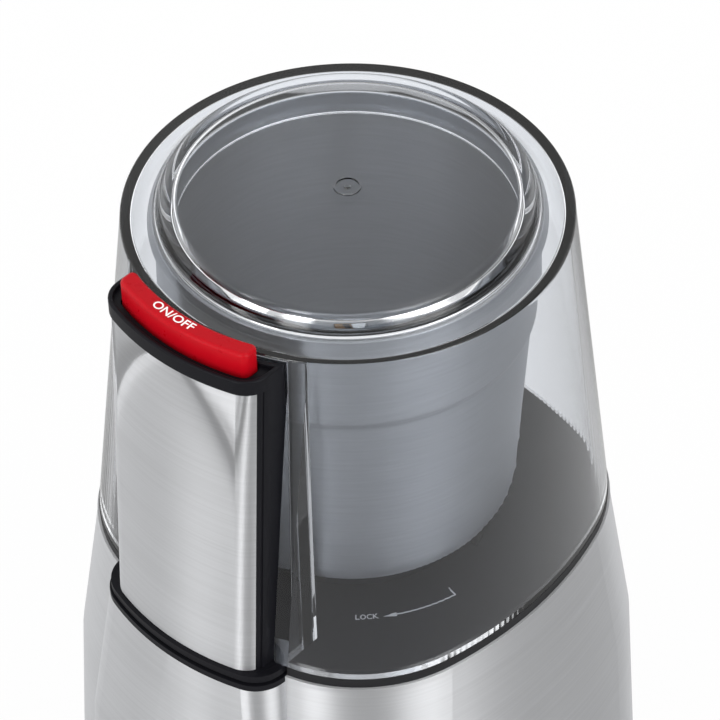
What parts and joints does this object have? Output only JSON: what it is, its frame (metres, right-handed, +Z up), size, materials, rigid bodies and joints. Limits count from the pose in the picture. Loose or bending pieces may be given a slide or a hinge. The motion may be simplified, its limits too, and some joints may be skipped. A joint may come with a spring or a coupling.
{
  "type": "electric spice grinder",
  "caption": "Electric blade grinder for spices and coffee, with a steel body, a clear lift-off cover, a removable steel cup and a push button on a side column.",
  "frame": {"origin": "on the axis of the cup and the motor, on the plane that the rubber feet stand on; the outer box, from the column's fairing to the cord's collar, is centred on that axis within 0.5 mm", "axes": "+Z up along the cup's axis, -Y towards the column with the button, +Y towards the cord's outlet, +X to the right of someone who faces the outlet from the column's side"},
  "size_m": [0.12, 0.1342, 0.2148],
  "materials": {
    "clear_plastic": "clear moulded plastic, smooth",
    "cup_steel": "drawn stainless steel, satin",
    "sleeve_steel": "stainless steel sheet, fine horizontal brushing",
    "blade_steel": "bright ground steel",
    "black_plastic": "black, lightly glossy",
    "gasket_rubber": "black, satin",
    "rubber": "black, matt",
    "red_plastic": "red, smooth",
    "white_plastic": "natural acetal",
    "coupling_plastic": "dark grey nylon",
    "switch_plastic": "black phenolic",
    "plunger_plastic": "red acetal",
    "spring_steel": "bright spring wire",
    "screw_steel": "zinc-plated",
    "bronze": "sintered, oiled",
    "brass": "stamped",
    "cast_aluminium": "die cast, dull",
    "lamination_steel": "stacked sheet, dull",
    "copper_wire": "varnished copper",
    "carbon": "graphite"
  },
  "bodies": {
    "base": {"deck": "black_plastic", "deck_gasket": "gasket_rubber", "column_foot": "black_plastic", "column_cover": "sleeve_steel", "column_spine": "black_plastic", "column_cap": "black_plastic", "button_spring": "spring_steel", "interlock_spring": "spring_steel", "brush_springs": "spring_steel", "main_switch": "switch_plastic", "interlock_switch": "switch_plastic", "housing": "black_plastic", "body_sleeve": "sleeve_steel", "base_trim": "black_plastic", "bottom_cover": "black_plastic", "rubber_feet": "rubber", "base_screws": "screw_steel", "deck_screws": "screw_steel", "motor_screws": "screw_steel", "mount_screws": "screw_steel", "cord_gland": "rubber", "upper_bracket": "cast_aluminium", "lower_bracket": "cast_aluminium", "motor_mounts": "rubber", "upper_bearing": "bronze", "lower_bearing": "bronze", "stator_core": "lamination_steel", "field_coils": "copper_wire", "brush_holders": "brass", "carbon_brushes": "carbon"},
    "cover": {"clear_cover": "clear_plastic"},
    "cup": {"grinding_cup": "cup_steel", "cup_base": "black_plastic", "cup_bush": "bronze", "cup_seal": "rubber"},
    "blade": {"blade": "blade_steel", "blade_shaft": "blade_steel", "blade_washer": "blade_steel", "blade_nut": "blade_steel", "driven_coupling": "coupling_plastic"},
    "motor": {"drive_coupling": "coupling_plastic", "motor_shaft": "blade_steel", "rotor_core": "lamination_steel", "rotor_windings": "copper_wire", "commutator": "copper_wire", "cooling_fan": "white_plastic"},
    "button": {"on_off_button": "red_plastic", "push_rod": "white_plastic", "main_switch_plunger": "plunger_plastic"},
    "pin": {"interlock_pin": "white_plastic", "interlock_plunger": "plunger_plastic"}
  },
  "joints": [
    {"name": "cover_lift", "type": "slide", "parent": "base", "child": "cover", "axis": [0, 0, 1], "range_m": [0, 0.095]},
    {"name": "cup_turn", "type": "hinge", "parent": "base", "child": "cup", "pos_m": [0, 0, 0.133], "axis": [0, 0, 1], "range_deg": [0, 24]},
    {"name": "button_press", "type": "slide", "parent": "base", "child": "button", "axis": [0, 0, -1], "range_m": [0, 0.003], "stiffness_N_per_m": 600, "springref_m": -0.002, "deforming": ["button_spring"]},
    {"name": "interlock_slide", "type": "slide", "parent": "base", "child": "pin", "axis": [0, 0, 1], "range_m": [0, 0.003], "deforming": ["interlock_spring"]},
    {"name": "motor_spin", "type": "hinge", "parent": "base", "child": "motor", "pos_m": [0, 0, 0.0535], "axis": [0, 0, 1], "continuous": true},
    {"name": "blade_spin", "type": "hinge", "parent": "base", "child": "blade", "pos_m": [0, 0, 0.133], "axis": [0, 0, 1], "continuous": true}
  ],
  "couplings": [
    {"joint": "interlock_slide", "follows": "cover_lift", "ratio": 0.0315},
    {"joint": "blade_spin", "follows": "motor_spin", "ratio": 1}
  ]
}
